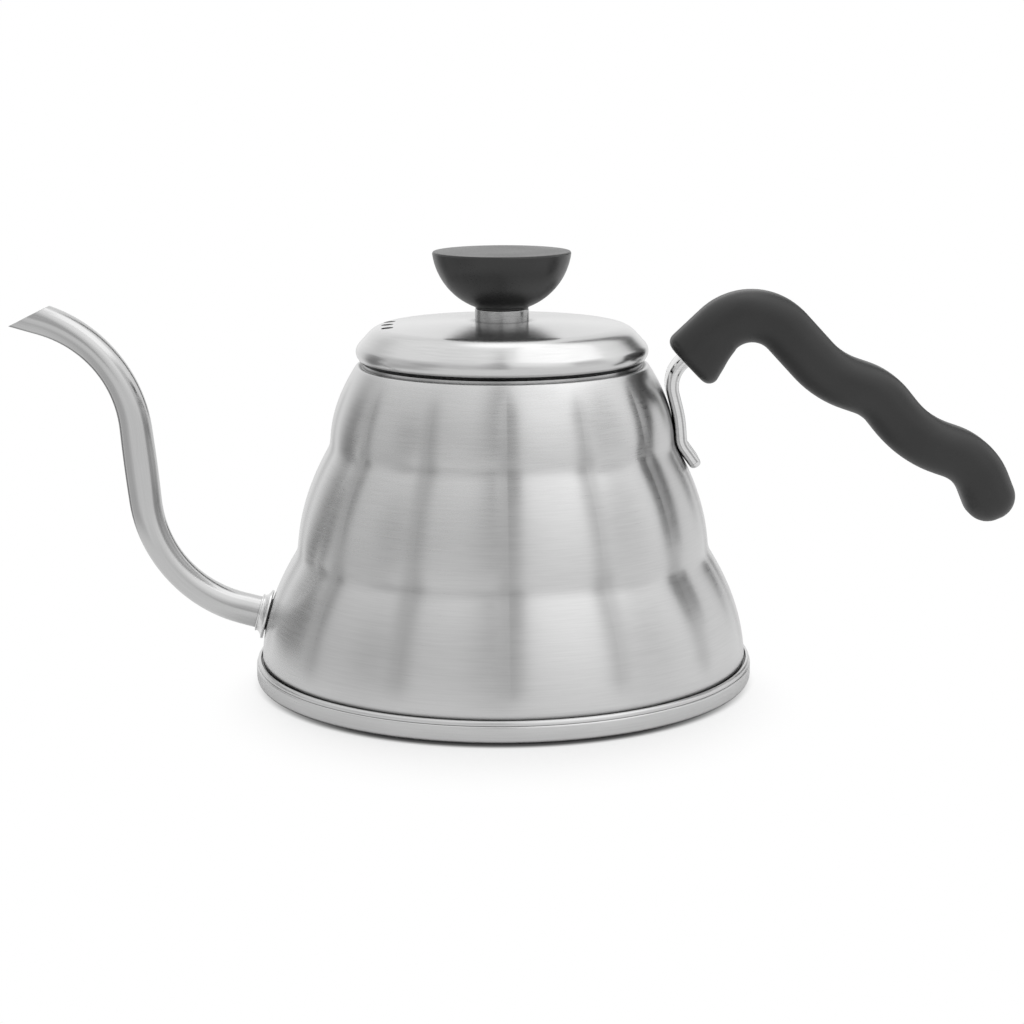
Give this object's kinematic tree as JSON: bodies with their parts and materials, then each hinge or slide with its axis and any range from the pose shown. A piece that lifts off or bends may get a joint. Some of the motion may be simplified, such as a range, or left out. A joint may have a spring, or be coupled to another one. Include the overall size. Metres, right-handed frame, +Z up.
{
  "type": "gooseneck kettle",
  "caption": "Steel pour-over kettle with a fluted, tiered body, slender gooseneck spout, wavy black grip on a channel strap, and a lift-off lid with a bowl-shaped knob.",
  "frame": {"origin": "On the kettle's vertical axis, in the plane of its flat underside.", "axes": "+Z up along the axis of body and lid, -X towards the spout, +X towards the grip, -Y towards the side that the picture shows."},
  "size_m": [0.2684, 0.134, 0.1144],
  "materials": {
    "brushed_stainless": "stainless sheet with a fine level brushing",
    "polished_stainless": "polished stainless steel",
    "black_phenolic": "moulded black phenolic with a satin skin",
    "brass": "turned brass",
    "plated_steel": "zinc-plated fastener steel"
  },
  "bodies": {
    "kettle": {"body_shell": "brushed_stainless", "base_pan": "brushed_stainless", "spout_tube": "brushed_stainless", "spout_collar": "polished_stainless", "handle_bracket": "polished_stainless", "handle_grip": "black_phenolic", "handle_screw": "plated_steel", "handle_spring_washer": "plated_steel", "handle_insert": "brass"},
    "lid": {"lid_cap": "brushed_stainless", "lid_plug_ring": "brushed_stainless", "lid_knob": "black_phenolic", "knob_collar": "polished_stainless", "knob_insert": "brass", "knob_washer": "plated_steel", "knob_screw": "plated_steel"}
  },
  "joints": [
    {"name": "lid_lift", "type": "slide", "parent": "kettle", "child": "lid", "axis": [0, 0, 1], "range_m": [0, 0.08]}
  ]
}
